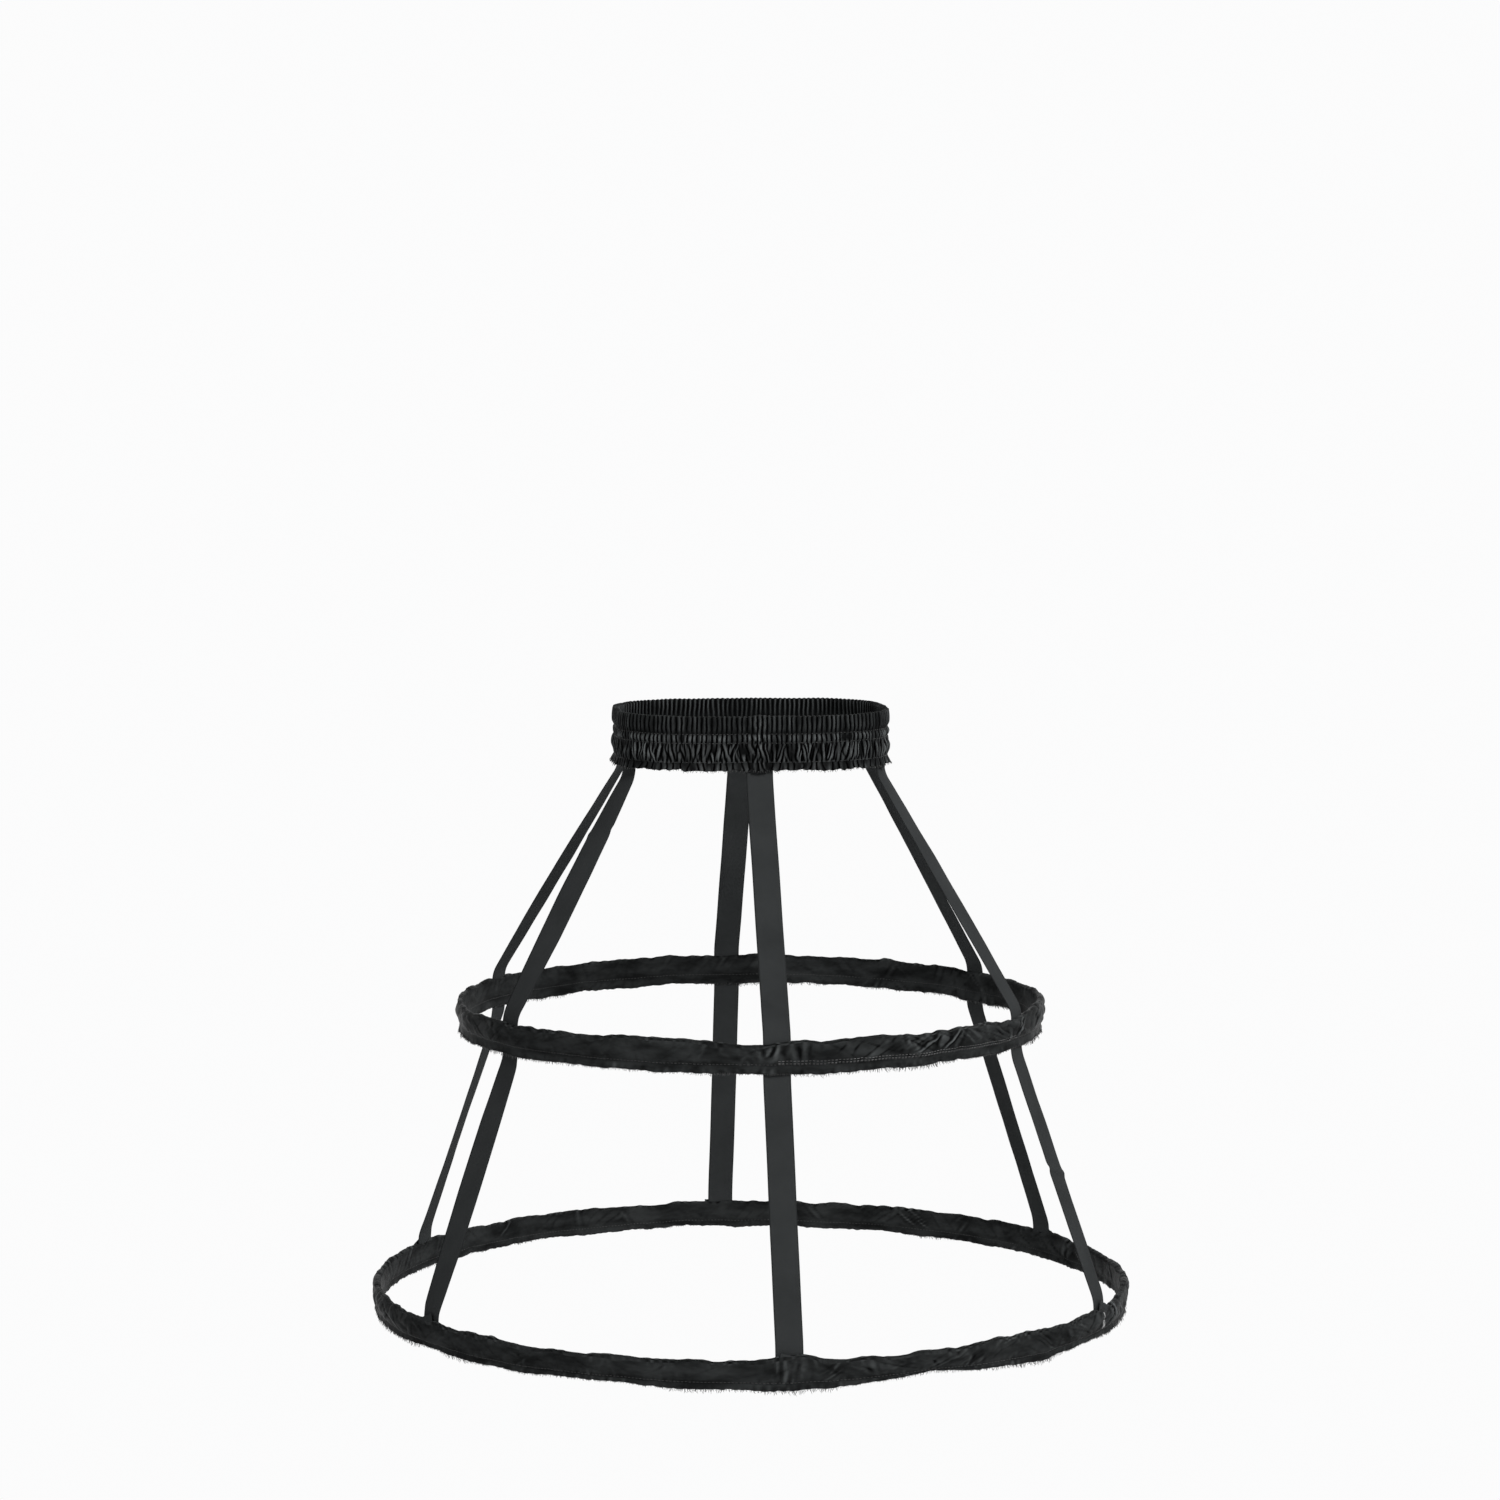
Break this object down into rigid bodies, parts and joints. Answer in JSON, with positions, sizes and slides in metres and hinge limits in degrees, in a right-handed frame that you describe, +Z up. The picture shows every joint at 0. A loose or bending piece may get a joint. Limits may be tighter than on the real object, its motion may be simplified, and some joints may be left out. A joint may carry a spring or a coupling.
{
  "type": "crinoline cage",
  "caption": "Black satin hoop-skirt cage: a gathered elastic waistband holds flat ribbons that carry a small upper hoop and a wider lower hoop, to hold a skirt out.",
  "frame": {"origin": "middle of the waist opening, halfway up the waistband", "axes": "+Z up along the wearer, +Y the way the wearer faces, +X to the wearer's right"},
  "size_m": [0.608, 0.6068, 0.4788],
  "materials": {
    "satin": "black satin, gathered and puckered",
    "ribbon": "flat charcoal satin ribbon",
    "elastic": "ribbed woven elastic",
    "bone": "flat white boning",
    "sleeve": "crimped sleeve"
  },
  "bodies": {
    "root": {"waistband_casing": "satin", "waist_elastic": "elastic", "back_ribbon": "ribbon", "right_back_ribbon": "ribbon", "right_front_ribbon": "ribbon", "front_ribbon": "ribbon", "left_front_ribbon": "ribbon", "left_back_ribbon": "ribbon", "upper_hoop_casing": "satin", "upper_hoop_bone": "bone", "upper_bone_connector": "sleeve", "lower_hoop_casing": "satin", "lower_hoop_bone": "bone", "lower_bone_connector": "sleeve"}
  },
  "joints": []
}
